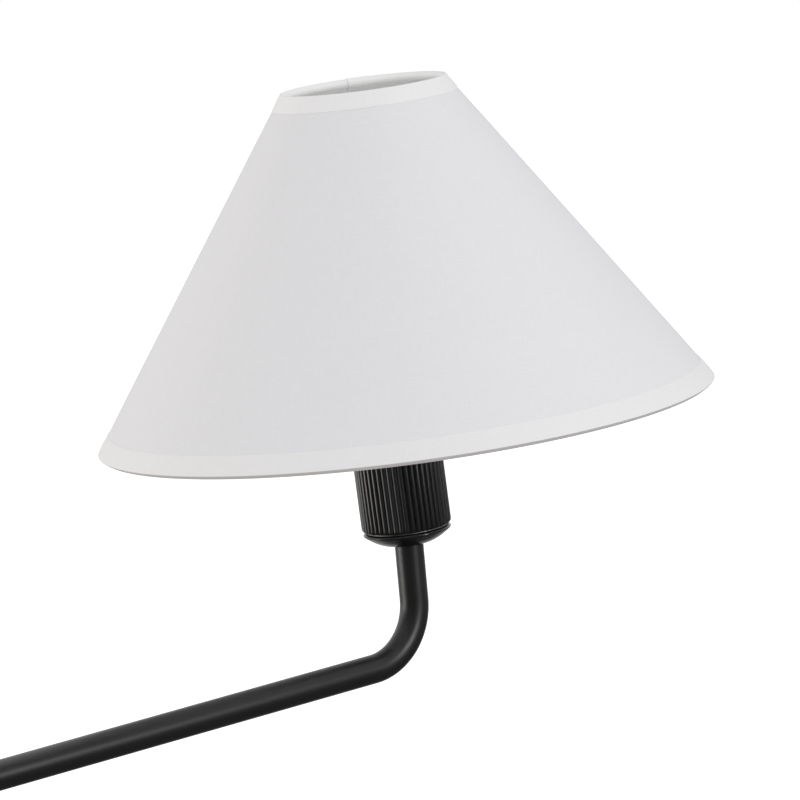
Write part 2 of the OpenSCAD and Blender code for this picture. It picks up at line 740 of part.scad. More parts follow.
// Ribbed cap: recessed neck at its foot, ledge for the core inside
module lampholder_cap() color("black") up_head(dish_top) {
    neck_h = 0.25;
    start = neck_h - eps;
    wide = holder_d / 2;
    top_edge = 0.8;
    difference() {
        union() {
            cylinder(h = neck_h, r = wide - 2.4);
            intersection() {
                translate([0, 0, start]) linear_extrude(holder_h - start) rib_outline();
                rotate_extrude() polygon([[0, start], [wide - holder_chamfer, start],
                    [wide, neck_h + holder_chamfer], [wide, holder_h - top_edge],
                    [wide - top_edge, holder_h], [0, holder_h]]);
            }
        }
        translate([0, 0, -1]) cylinder(h = holder_h, r = nipple_r + fit);
        translate([0, 0, holder_floor]) cylinder(h = holder_h, r = ledge_r);
        translate([0, 0, core_foot - dish_top]) cylinder(h = holder_h, r = holder_bore);
    }
}

module lampholder_core() color("white") up_head(core_foot) difference() {
    union() {
        cylinder(h = core_h, r = holder_bore - ease);
        cylinder(h = core_h + boss_h, r = shell_d / 2 - shell_t);
    }
    for (s = [-1, 1]) translate([s * terminal_x, 0, -1])
        cylinder(h = terminal_in + 1.5, r = terminal_r + fit, $fn = small_fn);
}

// Threaded skirt: plug inside the ribbed cap, thread rings above it
module lampholder_skirt() color("black") up_head() {
    turns = floor((skirt_h - 2) / skirt_pitch);
    crest = skirt_d / 2;
    root = crest - 0.7;
    rotate_extrude() polygon(concat([[skirt_bore, core_top], [holder_bore - fit, core_top],
        [holder_bore - fit, holder_top], [root, holder_top]],
        [for (i = [0:turns - 1], p = [[0, root], [0.25, crest], [0.5, crest], [0.75, root]])
            [p[1], holder_top + 1 + (i + p[0]) * skirt_pitch]],
        [[root, skirt_top], [skirt_bore, skirt_top]]));
}

module screw_shell() color("goldenrod") up_head(shell_foot) {
    bore = shell_d / 2;
    rim = 5;
    rotate_extrude() polygon([[rim, 0], [bore + shell_t, 0], [bore + shell_t, shell_h], [bore, shell_h],
        [bore, shell_t], [rim, shell_t]]);
}

// Spring strip, raised in the middle to meet the bulb's contact
module centre_contact() color("silver") up_head(shell_foot) rotate([90, 0, 0]) {
    strip_t = 0.5;
    strip_w = 4;
    crest = contact_h - fit;
    translate([0, 0, -strip_w / 2]) linear_extrude(strip_w) polygon([
        [-4.6, 0], [-2.2, 0], [-1, crest - strip_t], [1, crest - strip_t], [2.2, 0], [4.6, 0],
        [4.6, strip_t], [2.5, strip_t], [1.2, crest], [-1.2, crest], [-2.5, strip_t], [-4.6, strip_t]]);
}

module terminal_screws() color("goldenrod") up_head(core_foot) for (s = [-1, 1])
    translate([s * terminal_x, 0, 0]) {
        head_h = 1.8;
        head_r = terminal_r + 0.7;
        slit_w = 0.7;
        cylinder(h = terminal_in, r = terminal_r, $fn = small_fn);
        difference() {
            translate([0, 0, -head_h]) cylinder(h = head_h, r = head_r, $fn = small_fn);
            translate([-head_r - 1, -slit_w / 2, -head_h - 1]) cube([2 * head_r + 2, slit_w, 1 + slit_w]);
        }
    }

// Clamping ring: a flange on the frame's hub, and a fluted grip above it
module shade_clamp_ring() color("black") up_head(holder_top + hub_t) difference() {
    flange = 2;
    grips = 12;
    grip_r = clamp_d / 2 - 2.6;
    union() {
        cylinder(h = flange, r = clamp_d / 2);
        cylinder(h = clamp_h, r = grip_r);
    }
    translate([0, 0, -1]) cylinder(h = clamp_h + 2, r = skirt_d / 2 + fit);
    for (i = [0:grips - 1]) rotate([0, 0, i * 360 / grips])
        translate([grip_r + 0.6, 0, flange]) cylinder(h = clamp_h, r = 1, $fn = 24);
}

// ---- bulb ----

// Pear-shaped outline at distance t inside the glass's outside, up to the crown
function bulb_line(t) =
    let (ball = bulb_d / 2, neck = bulb_neck / 2, fillet = ball, middle = bulb_foot + bulb_len - ball,
        drop = sqrt(pow(ball + fillet, 2) - pow(neck + fillet, 2)), meet = asin(drop / (ball + fillet)))
    concat([[neck - t, glass_foot]],
        [for (a = [0:0.2:1])
            [neck + fillet, middle - drop] + (fillet + t) * [-cos(a * meet), sin(a * meet)]],
        [for (a = [0.05:0.05:1]) let (b = 90 * a - meet * (1 - a))
            [0, middle] + (ball - t) * [cos(b), sin(b)]]);

module bulb_glass() color("white") up_head() {
    glass = 1;
    outer = bulb_line(0);
    inner = bulb_line(glass);
    rotate_extrude() polygon(concat(outer, [for (i = [len(inner) - 1:-1:0]) inner[i]]));
}

module bulb_cap() color("silver") up_head(bulb_foot) {
    wide = bulb_cap_d / 2;
    top = glass_foot - bulb_foot;
    rotate_extrude() polygon([[tip_r, tip_h], [wide - 3, 2], [wide - 0.8, 6], [wide, top - 5], [wide, top],
        [0, top], [0, top - 1], [wide - 1, top - 1], [wide - 1, top - 5],
        [wide - 1.8, 6.4], [wide - 3.6, 3], [tip_r, tip_h + 1]]);
}

module bulb_contact() color("black") up_head(bulb_foot) {
    cylinder(h = tip_h, r = tip_r + 0.5);
    cylinder(h = tip_h + 1.8, r = tip_r - fit);
}

// ---- shade ----

// Point of the shade's section: d inside the cover's face and s up the slope from the bottom edge
function on_side(d, s) = [shade_bottom / 2, shade_base] + d * [-slope_z, slope_r] + s * [slope_r, slope_z];

module shell_of_side(d0, d1) up_shade() rotate_extrude($fn = 180)
    polygon([on_side(d0, 0), on_side(d0, side), on_side(d1, side), on_side(d1, 0)]);

module shade_cover() color("white") shell_of_side(0, cover_t);
module shade_lining() color("whitesmoke") shell_of_side(cover_t, wall_t);

module wire_ring(s) up_shade() rotate_extrude($fn = 180)
    translate(on_side(wire_in, s)) circle(wire_d / 2, $fn = small_fn);

module shade_bottom_wire() color("white") wire_ring(wire_d / 2);
module shade_top_wire() color("white") wire_ring(side - wire_d / 2);

// The same measured from the bottom edge, or from the top edge
function on_edge(top, d, s) = on_side(d, top ? side - s : s);

// Half turn round an edge's wire at radius r, from under it to over it
function round_wire(top, r, step) = [for (a = [-90:step:90])
    on_edge(top, wire_in + r * cos(a), wire_d / 2 + r * sin(a))];

// Tape folded over the bottom or the top edge and its wire
module edge_tape(top) up_shade() rotate_extrude($fn = 180) {
    hug = wire_d / 2 + fit;
    inner = round_wire(top, hug, 20);
    outside = top ? top_tape_w : tape_w;
    face = -fit - tape_t;
    back = wall_t + fit;
    past = wire_d + 2;
    polygon(concat([on_edge(top, face, outside), on_edge(top, face, 0), on_edge(top, 0, face)],
        round_wire(top, hug + tape_t, 20),
        [on_edge(top, back + tape_t, past), on_edge(top, back + tape_t, past + tape_in),
        on_edge(top, back, past + tape_in), on_edge(top, back, past - tape_t)],
        [for (i = [len(inner) - 1:-1:0]) inner[i]],
        [on_edge(top, wall_t, -fit), on_edge(top, -fit, -fit), on_edge(top, -fit, outside)]));
}

module shade_bottom_tape() color("white") difference() {
    edge_tape(false);
    spokes(spoke_d / 2 + ease, 0.8);
}

module shade_top_tape() color("white") edge_tape(true);

// The frame's three arms from the hub to the bottom wire, run on past the wire's near side by over
module spokes(r, over) up_head() {
    rim = on_side(wire_in, wire_d / 2);
    off = [shade_x - head_x, shade_y - head_y, 0];
    for (i = [0:2]) {
        way = [cos(spoke_turn + i * 120), sin(spoke_turn + i * 120), 0];
        foot = (clamp_d / 2 + 0.5) * way + [0, 0, holder_top + hub_t / 2];
        tip = off + (rim.x - wire_d / 2 - spoke_gap + over) * way + [0, 0, rim.y];
        rod_between(foot, tip, r);
    }
}

// Frame: hub washer under the clamping ring, and its three arms
module shade_spider() color("white") {
    up_head(holder_top) difference() {
        cylinder(h = hub_t, r = hub_r);
        translate([0, 0, -1]) cylinder(h = hub_t + 2, r = skirt_d / 2 + ease);
    }
    spokes(spoke_d / 2, 0);
}

mounting_plate();
canopy_studs();
earth_screw();
earth_lugs();
earth_lead();
canopy();
canopy_cap_nuts();
stem();
stem_locknut();
stem_collar();
stem_cup();
stem_cup_cap();
wall_pivot();
wall_washer();
wall_spring_washer();
wall_locknut();
wall_stop_pin();
stem_cable();
canopy_leads();
wire_connectors();
switch_body();
switch_nut();
switch_knob();
inner_wall_cup();
inner_wall_cap();
inner_tube();
inner_elbow_cup();
inner_elbow_cap();
elbow_pivot();
elbow_washer();
elbow_spring_washer();
elbow_locknut();
elbow_stop_pin();
inner_cable();
outer_cup();
outer_cup_cap();
outer_tube();
outer_cable();
lamp_leads();
lamp_nipple();
lamp_dish();
lamp_locknut();
lampholder_cap();
lampholder_core();
lampholder_skirt();
screw_shell();
centre_contact();
terminal_screws();
shade_clamp_ring();
shade_spider();
shade_bottom_wire();
shade_top_wire();
shade_lining();
shade_cover();
shade_bottom_tape();
shade_top_tape();
bulb_glass();
bulb_cap();
bulb_contact();
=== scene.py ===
# %% [markdown]
# # A swing arm wall sconce
# A bedside lamp on two jointed tubes: a round canopy on the wall, a black ribbed lampholder at the end of the
# arm, and a white cotton cone shade that a threaded ring clamps on the lampholder. The construction comes
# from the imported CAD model, in metres, with its origin on the wall behind the canopy. Everything here is
# placed from that model's own boxes and points, so that the looks follow the construction and no number is
# fitted twice.

import json
import math

import bmesh
import bpy
from mathutils import Matrix, Vector, noise

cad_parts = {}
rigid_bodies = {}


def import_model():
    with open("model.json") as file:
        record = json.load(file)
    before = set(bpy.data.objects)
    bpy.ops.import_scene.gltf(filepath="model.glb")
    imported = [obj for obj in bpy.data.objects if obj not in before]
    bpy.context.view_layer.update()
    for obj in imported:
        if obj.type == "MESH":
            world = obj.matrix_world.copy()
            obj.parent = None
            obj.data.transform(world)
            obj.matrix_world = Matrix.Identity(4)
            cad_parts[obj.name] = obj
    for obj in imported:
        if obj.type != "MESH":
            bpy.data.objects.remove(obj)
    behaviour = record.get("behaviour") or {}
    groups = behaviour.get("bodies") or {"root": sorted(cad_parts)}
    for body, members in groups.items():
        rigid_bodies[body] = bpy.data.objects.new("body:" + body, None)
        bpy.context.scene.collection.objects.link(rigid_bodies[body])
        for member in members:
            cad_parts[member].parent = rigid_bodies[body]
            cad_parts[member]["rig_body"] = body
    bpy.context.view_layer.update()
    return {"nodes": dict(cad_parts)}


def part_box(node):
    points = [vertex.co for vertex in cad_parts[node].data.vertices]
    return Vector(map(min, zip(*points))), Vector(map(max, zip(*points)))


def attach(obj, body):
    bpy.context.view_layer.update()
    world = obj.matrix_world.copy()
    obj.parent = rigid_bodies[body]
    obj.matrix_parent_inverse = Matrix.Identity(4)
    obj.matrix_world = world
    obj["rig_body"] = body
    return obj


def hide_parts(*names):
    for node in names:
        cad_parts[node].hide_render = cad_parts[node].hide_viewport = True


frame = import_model()
nodes = frame["nodes"]
MM = 0.001

# %% [markdown]
# ## Reading sizes off the model
# A node's box gives its middle, its levels and its width. A cone needs one thing more, its radius at an edge,
# and that is read from the node's own points. All are small helpers, because nearly every piece below starts
# with them.

# %% A node's middle, levels and half width
def middle(node):
    low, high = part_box(node)
    return (Vector(low) + Vector(high)) / 2


def levels(node):
    low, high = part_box(node)
    return low[2], high[2]


def half_width(node):
    low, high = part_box(node)
    return (high[0] - low[0]) / 2


head = middle("lampholder_cap")
print("lampholder at", [round(v, 4) for v in head])

# %% A node's radius near a level
def radius_at(node, level, reach=0.6 * MM, pick=max):
    """The outer radius within that reach of a level, or the inner one with pick=min."""
    axis = middle(node)
    points = (v.co for v in nodes[node].data.vertices if abs(v.co.z - level) < reach)
    return pick(math.hypot(p.x - axis.x, p.y - axis.y) for p in points)


shade = middle("shade_cover")
shade_foot, shade_top = levels("shade_cover")
foot_r = radius_at("shade_cover", shade_foot)
top_r = radius_at("shade_cover", shade_top)
print(f"shade {2 * foot_r / MM:.1f} mm across its foot, {2 * top_r / MM:.1f} across its top")

# %% [markdown]
# ## Camera
# A long lens a little over two metres away, a little above the top of the shade and looking slightly down.
# The camera is rolled by a few degrees, so the lamp leans in its view. The distances are measured from the
# lampholder's axis and its upper edge. Blender takes a lens and its sensor in millimetres.

# %% Camera
camera_away = 2184.74 * MM
camera_up = 342.37 * MM
camera_heading = math.radians(-56.809)
camera_turn = math.radians(-0.1135)
camera_tilt = math.radians(90 - 8.346)
camera_roll = math.radians(-7.505)
lens_length = 227.14
sensor_width = 36
sight_end = 100

camera_data = bpy.data.cameras.new("camera")
camera = bpy.data.objects.new("camera", camera_data)
bpy.context.scene.collection.objects.link(camera)
bpy.context.scene.camera = camera
camera_data.sensor_width = sensor_width
camera_data.lens = lens_length
camera_data.clip_end = sight_end
camera.matrix_world = (
    Matrix.Translation(
        (
            head.x + camera_away * math.sin(camera_heading),
            head.y - camera_away * math.cos(camera_heading),
            levels("lampholder_cap")[1] + camera_up,
        )
    )
    @ Matrix.Rotation(camera_heading + camera_turn, 4, "Z")
    @ Matrix.Rotation(camera_tilt, 4, "X")
    @ Matrix.Rotation(camera_roll, 4, "Z")
)
print("camera at", [round(v, 3) for v in camera.matrix_world.translation])

# %% [markdown]
# ## Helpers for materials
# Hex colours are written as the eye sees them, and the renderer wants them linear, so one function turns
# them. A shader is a small net of nodes. Each node is made by the same call, which sets what is plain and
# links what comes from another node. What is the same all over a surface is set on the shader itself.

# %% Colours
def linear(hex_colour):
    """Red, green and blue in linear light, by the curve of the sRGB standard, and full alpha."""
    channels = [int(hex_colour[i : i + 2], 16) / 255 for i in (1, 3, 5)]
    return [c / 12.92 if c <= 0.04045 else ((c + 0.055) / 1.055) ** 2.4 for c in channels] + [1]


print("the middle grey #808080 is", round(linear("#808080")[0], 3), "of white's light")

# %% Shader nodes
def add(tree, kind, inputs=None, **settings):
    """A shader node with its settings; an input is a value, or another node's output to link."""
    node = tree.nodes.new("ShaderNode" + kind)
    for name, value in settings.items():
        setattr(node, name, value)
    for socket, value in (inputs or {}).items():
        if isinstance(value, bpy.types.NodeSocket):
            tree.links.new(value, node.inputs[socket])
        else:
            node.inputs[socket].default_value = value
    return node


def start_material(name, **sockets):
    """A new material with its Principled shader set, and its tree for what varies over the surface."""
    material = bpy.data.materials.new(name)
    material.use_nodes = True
    shader = material.node_tree.nodes["Principled BSDF"]
    for socket, value in sockets.items():
        shader.inputs[socket.replace("_", " ")].default_value = value
    return material, material.node_tree, shader


painted = set()


def paint(material, *names):
    """Gives CAD nodes this material."""
    for name in names:
        mesh = bpy.data.objects[name].data
        mesh.materials.clear()
        mesh.materials.append(material)
    painted.update(names)


# %% [markdown]
# ## Studio
# The lamp hangs in a plain white studio, over a floor that lies well below it and takes its shadow. What a
# ray finds there depends on its kind. Camera and see-through rays find white, a strength of 1. The light that
# the world sheds is a little lower, so that the soft boxes can model the shade's cone. Glossy rays find white
# behind the lamp and little on the camera's side, as a studio is dark behind its lights, and that keeps black
# pieces black where they face the camera. To glossy rays the floor is white only far behind the lamp. It is
# clear from below, so that the lamp can be looked at from underneath.

# %% Which rays see the backdrop, and the dark side of the room
dark_side = 0.08
camera_side = (math.sin(camera_heading), -math.cos(camera_heading), 0)


def is_seen(tree):
    """1 for camera and see-through rays."""
    path = add(tree, "LightPath")
    rays = {0: path.outputs["Is Camera Ray"], 1: path.outputs["Is Transmission Ray"]}
    return add(tree, "Math", rays, operation="MAXIMUM").outputs[0]


def room_light(tree, direction, white_to, dark_from):
    """Strength of the backdrop that way: 1, and falling to the dark side's towards the camera's side.

    Both limits run from -1, straight away from the camera's side, to 1, straight towards it.
    """
    way = add(tree, "VectorMath", {0: direction}, operation="NORMALIZE")
    forward = add(tree, "VectorMath", {0: way.outputs["Vector"], 1: camera_side}, operation="DOT_PRODUCT")
    falling = {"From Min": white_to, "From Max": dark_from, "To Min": 1.0, "To Max": dark_side}
    return add(tree, "MapRange", {"Value": forward.outputs["Value"], **falling}).outputs[0]


print("the room's dark side lies towards", [round(v, 2) for v in camera_side])

# %% World
world_light = 0.8
room_limits = (-0.3, 0.2)

world = bpy.data.worlds.new("studio")
bpy.context.scene.world = world
world.use_nodes = True
sky = world.node_tree
glossy = add(sky, "LightPath").outputs["Is Glossy Ray"]
room = room_light(sky, add(sky, "TexCoord").outputs["Generated"], *room_limits)
shed = add(sky, "Mix", {0: glossy, 2: world_light, 3: room}, data_type="FLOAT")
strength = add(sky, "Mix", {0: is_seen(sky), 2: shed.outputs[0], 3: 1.0}, data_type="FLOAT")
background = sky.nodes["Background"]
background.inputs["Color"].default_value = linear("#FFFFFF")
sky.links.new(strength.outputs[0], background.inputs["Strength"])
print("world light", world_light, "dark side", dark_side)

# %% Floor
floor_level = -0.9
floor_half = 12
floor_glow = 0.6
floor_limits = (-1.0, -0.6)

floor_mesh = bpy.data.meshes.new("floor")
corners = [(-1, -1), (1, -1), (1, 1), (-1, 1)]
floor_mesh.from_pydata(
    [(floor_half * x, floor_half * y, floor_level) for x, y in corners], [], [(0, 1, 2, 3)]
)
floor = bpy.data.objects.new("floor", floor_mesh)
bpy.context.scene.collection.objects.link(floor)
floor_paint, tree, shader = start_material(
    "white_floor", Base_Color=linear("#E0E0E0"), Roughness=0.9, Specular_IOR_Level=0
)
glow = add(tree, "Math", {0: is_seen(tree), 1: floor_glow}, operation="MULTIPLY")
lift = add(tree, "Emission", {"Strength": glow.outputs[0]})
lit = add(tree, "AddShader", {0: shader.outputs[0], 1: lift.outputs[0]})
place = add(tree, "NewGeometry")
backdrop = room_light(tree, place.outputs["Position"], *floor_limits)
mirrored = add(tree, "Emission", {"Strength": backdrop})
glossy = add(tree, "LightPath").outputs["Is Glossy Ray"]
above = add(tree, "MixShader", {0: glossy, 1: lit.outputs[0], 2: mirrored.outputs[0]})
clear = add(tree, "BsdfTransparent")
sides = {0: place.outputs["Backfacing"], 1: above.outputs[0], 2: clear.outputs[0]}
whole = add(tree, "MixShader", sides)
tree.links.new(whole.outputs[0], tree.nodes["Material Output"].inputs["Surface"])
floor_mesh.materials.append(floor_paint)
print("floor at", floor_level, "m")

# %% [markdown]
# ## Soft boxes
# A black tube shows the lights more than its own colour, so the boxes are placed by what the tube should
# show. A wide one, about level with the lampholder and far round to the camera's left, draws the soft line on
# the tube's left side and along the ribs. A small one in front at the right draws the line in the bend and
# lights the cotton there. A weak one high at the right and one above in front even out the light on the
# shade. Each has a heading in degrees from the camera's own, round the lampholder. Its height above that and
# its distance are in metres.

# %% Soft boxes
def soft_box(name, heading, height, away, width, tall, watts, colour="#FFFFFF"):
    lamp = bpy.data.lights.new(name, "AREA")
    lamp.shape = "RECTANGLE"
    lamp.size = width
    lamp.size_y = tall
    lamp.energy = watts
    lamp.color = linear(colour)[:3]
    box = bpy.data.objects.new(name, lamp)
    bpy.context.scene.collection.objects.link(box)
    turn = camera_heading + math.radians(heading)
    place = head + Vector((away * math.sin(turn), -away * math.cos(turn), height))
    facing = (head - place).to_track_quat("-Z", "Y").to_matrix().to_4x4()
    box.matrix_world = Matrix.Translation(place) @ facing
    print(name, "at", [round(v, 2) for v in place])


warm_white = "#FFFAF5"
cool_white = "#FAFAFF"
soft_box("left_soft_box", -89, height=-0.15, away=1.6, width=0.8, tall=0.6, watts=6.9, colour=warm_white)
soft_box("right_soft_box", 48.5, height=0.25, away=1.7, width=0.27, tall=0.46, watts=6.5, colour=cool_white)
soft_box("right_top_box", 60, height=0.9, away=1.6, width=0.7, tall=0.7, watts=0.25, colour=cool_white)
soft_box("top_soft_box", 0, height=1.6, away=1.0, width=1.0, tall=1.0, watts=2.5)

# %% [markdown]
# ## Skins
# Every new piece here is a skin over rows of points: a turned part has one row for each corner of its
# outline, and a folded tape has one row for each step round the shade. Blender's own lathe and curve tools
# could do the first, but one function for both keeps the pieces alike, and it gives the cloth UVs in metres
# for its weave.

# %% A skin over rows of points
def skin(name, rows, flat=None, closed=True):
    """Quads between rows of points. Each row closes on itself, or is left open.

    With flat, the points also get UVs: flat(row, column) is a point's place on the flat cut.
    """
    wide = len(rows[0])
    mesh = bpy.data.meshes.new(name)
    steps = range(wide if closed else wide - 1)
    faces = [
        (i * wide + k, i * wide + (k + 1) % wide, (i + 1) * wide + (k + 1) % wide, (i + 1) * wide + k)
        for i in range(len(rows) - 1)
        for k in steps
    ]
    mesh.from_pydata([p for row in rows for p in row], [], faces)
    if flat:
        layer = mesh.uv_layers.new(name="cut")
        corner = 0
        for i in range(len(rows) - 1):
            for k in steps:
                for row, column in ((i, k), (i, k + 1), (i + 1, k + 1), (i + 1, k)):
                    layer.data[corner].uv = flat(row, column)
                    corner += 1
    piece = bpy.data.objects.new(name, mesh)
    bpy.context.scene.collection.objects.link(piece)
    return piece


same_place = 0.001 * MM


def close_up(piece, open_ends=False):
    """Closes open ends with faces, or joins points that coincide, and turns all faces outwards."""
    shape = bmesh.new()
    shape.from_mesh(piece.data)
    if open_ends:
        bmesh.ops.holes_fill(shape, edges=[e for e in shape.edges if e.is_boundary], sides=0)
    else:
        bmesh.ops.remove_doubles(shape, verts=shape.verts, dist=same_place)
    bmesh.ops.recalc_face_normals(shape, faces=shape.faces)
    shape.to_mesh(piece.data)
    shape.free()


# %% Points round an axis, round an arc, and a turned part
def even_turns(count):
    return [2 * math.pi * k / count for k in range(count)]


def round_axis(axis, turn, radius, level):
    """A point at that turn, radius and level about an upright axis."""
    return Vector((axis.x + radius * math.cos(turn), axis.y + radius * math.sin(turn), level))


def arc(centre, radius, start, stop, step=15):
    """Points round part of a circle in an outline, from one angle to another in degrees."""
    count = max(1, round(abs(stop - start) / step))
    turns = [math.radians(start + (stop - start) * k / count) for k in range(count + 1)]
    return [(centre[0] + radius * math.cos(a), centre[1] + radius * math.sin(a)) for a in turns]


def turned(name, outline, axis, steps=96):
    """A part turned about an upright axis, from an outline of radius and level."""
    rows = [[round_axis(axis, a, r, level) for a in even_turns(steps)] for r, level in outline]
    piece = skin(name, rows)
    close_up(piece)
    return piece


# %% A skin in the place of CAD nodes
sharp_angle = math.radians(34)


def stand_in(piece, material, *names):
    """Smooths a piece, gives it its finish, and puts it in the place of CAD nodes on their body.

    Blender numbers a second material of the same name.
    """
    piece.data.shade_smooth()
    piece.data.set_sharp_from_angle(angle=sharp_angle)
    piece.data.materials.append(material)
    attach(piece, nodes[names[0]]["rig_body"])
    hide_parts(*names)
    print(piece.name, len(piece.data.polygons), "faces")
    return piece


# %% [markdown]
# ## White cotton
# The cover is plain-woven cotton, bleached and a little cool in colour. Its threads lie 0.45 mm apart, which
# is too fine to show from two metres away, so the weave is drawn 1 mm apart. What the eye catches is the
# unevenness of the yarn: short thicker stretches, along the cloth and across it, that make a fine speckle.
# The pattern lies on the flat cut, so its threads run straight over the cloth and slantwise round the cone,
# as they do on a real one.
#
# The tapes are the same cloth, cut in strips, and the top one is painted a little lighter than the foot one:
# painted light. Each has a second tone over part of its width. The top one is painted whiter inside the
# shade, painted light for what shines through the cloth, and the foot one is painted darker where it turns
# under the edge, painted shade. A thin grey line at a tape's cut end is a painted shadow of the step where it
# laps.

# %% Woven cloth
thread_gap = 1.0 * MM
yarn_run = 9 * MM
yarn_relief = 0.02 * MM
cloud_size = 45 * MM
cloud_share = 0.5
weave_low, weave_high = 1.2, 2.3
tone_fade = 0.3 * MM
# A painted shadow: a thin grey line at each tape's cut end, where the lap steps up.
lap_shadow_width = 0.5 * MM
lap_shadow_colour = "#DAD8D5"


def woven(name, colour, contrast, second=None):
    """A plain weave on the UVs, with uneven yarns that tint it and raise it.

    A tape's second tone is a band of painted light or painted shade, given as (from, to, colour) and measured
    across the tape from the shade's edge; with it comes a painted shadow line at the tape's cut end.
    """
    material, tree, shader = start_material(
        name, Base_Color=linear(colour), Roughness=0.85, Specular_IOR_Level=0.25, Sheen_Weight=0.06
    )
    cloth = add(tree, "TexCoord").outputs["UV"]
    yarns = []
    for along, across in ((yarn_run, thread_gap), (thread_gap, yarn_run)):
        stretched = add(tree, "Mapping", {"Vector": cloth, "Scale": (1 / along, 1 / across, 1)})
        runs = add(tree, "TexNoise", {"Vector": stretched.outputs[0], "Scale": 1.0, "Detail": 1.0})
        yarns.append(runs.outputs[0])
    yarn = add(tree, "Math", {0: yarns[0], 1: yarns[1]}, operation="ADD")
    speck = add(tree, "TexNoise", {"Vector": cloth, "Scale": 1 / thread_gap, "Detail": 0.0})
    cloud = add(tree, "TexNoise", {"Vector": cloth, "Scale": 1 / cloud_size, "Detail": 2.0})
    weave = add(tree, "Math", {0: yarn.outputs[0], 1: speck.outputs[0]}, operation="ADD")
    clouded = {0: cloud.outputs[0], 1: cloud_share, 2: weave.outputs[0]}
    worn = add(tree, "Math", clouded, operation="MULTIPLY_ADD")
    tones = {"From Min": weave_low, "From Max": weave_high, "To Min": 1 - contrast, "To Max": 1 + contrast}
    tint = add(tree, "MapRange", {"Value": worn.outputs[0], **tones})
    plain = linear(colour)
    # A band of painted light or painted shade across the tape, then the painted shadow line at its cut end.
    if second:
        place = add(tree, "SeparateXYZ", {0: cloth})
        shares = []
        for axis, edge, way in (("Y", second[0], 1), ("Y", second[1], -1), ("X", -lap_shadow_width, 1)):
            fade = {"From Min": edge, "From Max": edge + way * tone_fade}
            shares.append(add(tree, "MapRange", {"Value": place.outputs[axis], **fade}).outputs[0])
        between = add(tree, "Math", {0: shares[0], 1: shares[1]}, operation="MULTIPLY").outputs[0]
        for share, tone in ((between, second[2]), (shares[2], lap_shadow_colour)):
            mixed = add(tree, "Mix", {0: share, 6: plain, 7: linear(tone)}, data_type="RGBA")
            plain = mixed.outputs[2]
    dyed = add(tree, "Mix", {0: 1.0, 6: plain, 7: tint.outputs[0]}, data_type="RGBA", blend_type="MULTIPLY")
    tree.links.new(dyed.outputs[2], shader.inputs["Base Color"])
    raised = add(tree, "Bump", {"Height": weave.outputs[0], "Distance": yarn_relief, "Strength": 1.0})
    tree.links.new(raised.outputs[0], shader.inputs["Normal"])
    return material


# Painted light: the top tape is painted whiter inside the shade, for light that shines through the cloth.
painted_inside_light = (1 * MM, 20 * MM, "#F0F0EF")
# Painted shade: the foot tape is painted darker where it turns under the edge.
painted_fold_shade = (0, 4 * MM, "#BCBAB8")
cotton = woven("white_cotton", "#DFDEE0", contrast=0.022)
# Painted light: the top tape's colour is a little lighter than the foot tape's, though both are the same
# cloth.
top_tape_cloth = woven("cotton_tape", "#E7E6E6", contrast=0.018, second=painted_inside_light)
foot_tape_cloth = woven("cotton_tape", "#E4E3E3", contrast=0.018, second=painted_fold_shade)
print(f"weave drawn every {thread_gap / MM:.2f} mm")

# %% [markdown]
# ## The shade's side
# Cover, lining and tapes all lie on one cone. Their places are easiest to say along its slope: how far inward
# from the cover's face, and how far up from the foot's edge. One function turns that into radius and level.

# %% Places on the slope
face_point = max((v.co for v in nodes["shade_cover"].data.vertices), key=lambda p: (p - shade).xy.length)
base = face_point.z
slant = math.hypot(foot_r - top_r, shade_top - base)
spread = (foot_r - top_r) / slant
rise = (shade_top - base) / slant


def on_side(inward, up):
    return foot_r - inward * rise - up * spread, base - inward * spread + up * rise


lean = math.degrees(math.asin(spread))
print(f"the side is {slant / MM:.1f} mm up its slope, {lean:.1f} degrees from upright")

# %% [markdown]
# ## The cotton cover
# The cover is cut as part of a flat ring, wrapped round the stiff lining and lapped by 8 mm at one seam,
# which lies on the side that faces the wall. It is one thin sheet, so it is a single skin. Glued cloth is
# never quite true to the cone: it stands off by a tenth of a millimetre here and there, and the light shows
# it.

# %% Cover
lap = 8 * MM
cloth_step = 0.3 * MM
seam_turn = camera_heading + math.radians(90)
lap_turn = lap / foot_r
whole_turn = 2 * math.pi + lap_turn
round_steps = 300
up_steps = 48
cut_outer = foot_r / spread
under_tape = 9 * MM
free_fade = 15 * MM
broad_wave = 38 * MM
fine_wave = 14 * MM
fine_share = 0.5
stand_off = 0.07 * MM


def uneven(turn, up):
    """How far the cloth stands off the cone: nothing under the tapes, and a little between them."""
    place = round_axis(shade, turn, *on_side(0, up))
    soft = noise.noise(place / broad_wave) + fine_share * noise.noise(place / fine_wave)
    free = min(1, max(0, min(up, slant - up) - under_tape) / free_fade)
    return stand_off * (1 + soft) * free


def cover_point(turn, up):
    """A point of the cover, which steps up onto its own start where it laps."""
    over = min(1, max(0, turn - seam_turn - 2 * math.pi + lap_turn) / lap_turn)
    off = uneven(turn - 2 * math.pi * (turn > seam_turn + 2 * math.pi), up) + cloth_step * min(1, 2 * over)
    return round_axis(shade, turn, *on_side(-off, up))


def cover_flat(row, column):
    """The same point on the flat cut, in metres."""
    reach = cut_outer - slant * row / up_steps
    swing = (column / round_steps - 0.5) * whole_turn * spread
    return reach * math.sin(swing), reach * math.cos(swing)


cover_turns = [seam_turn + whole_turn * k / round_steps for k in range(round_steps + 1)]
cover_rows = [[cover_point(a, slant * i / up_steps) for a in cover_turns] for i in range(up_steps + 1)]
cover = skin("fabric_cover", cover_rows, cover_flat, closed=False)
stand_in(cover, cotton, "shade_cover")

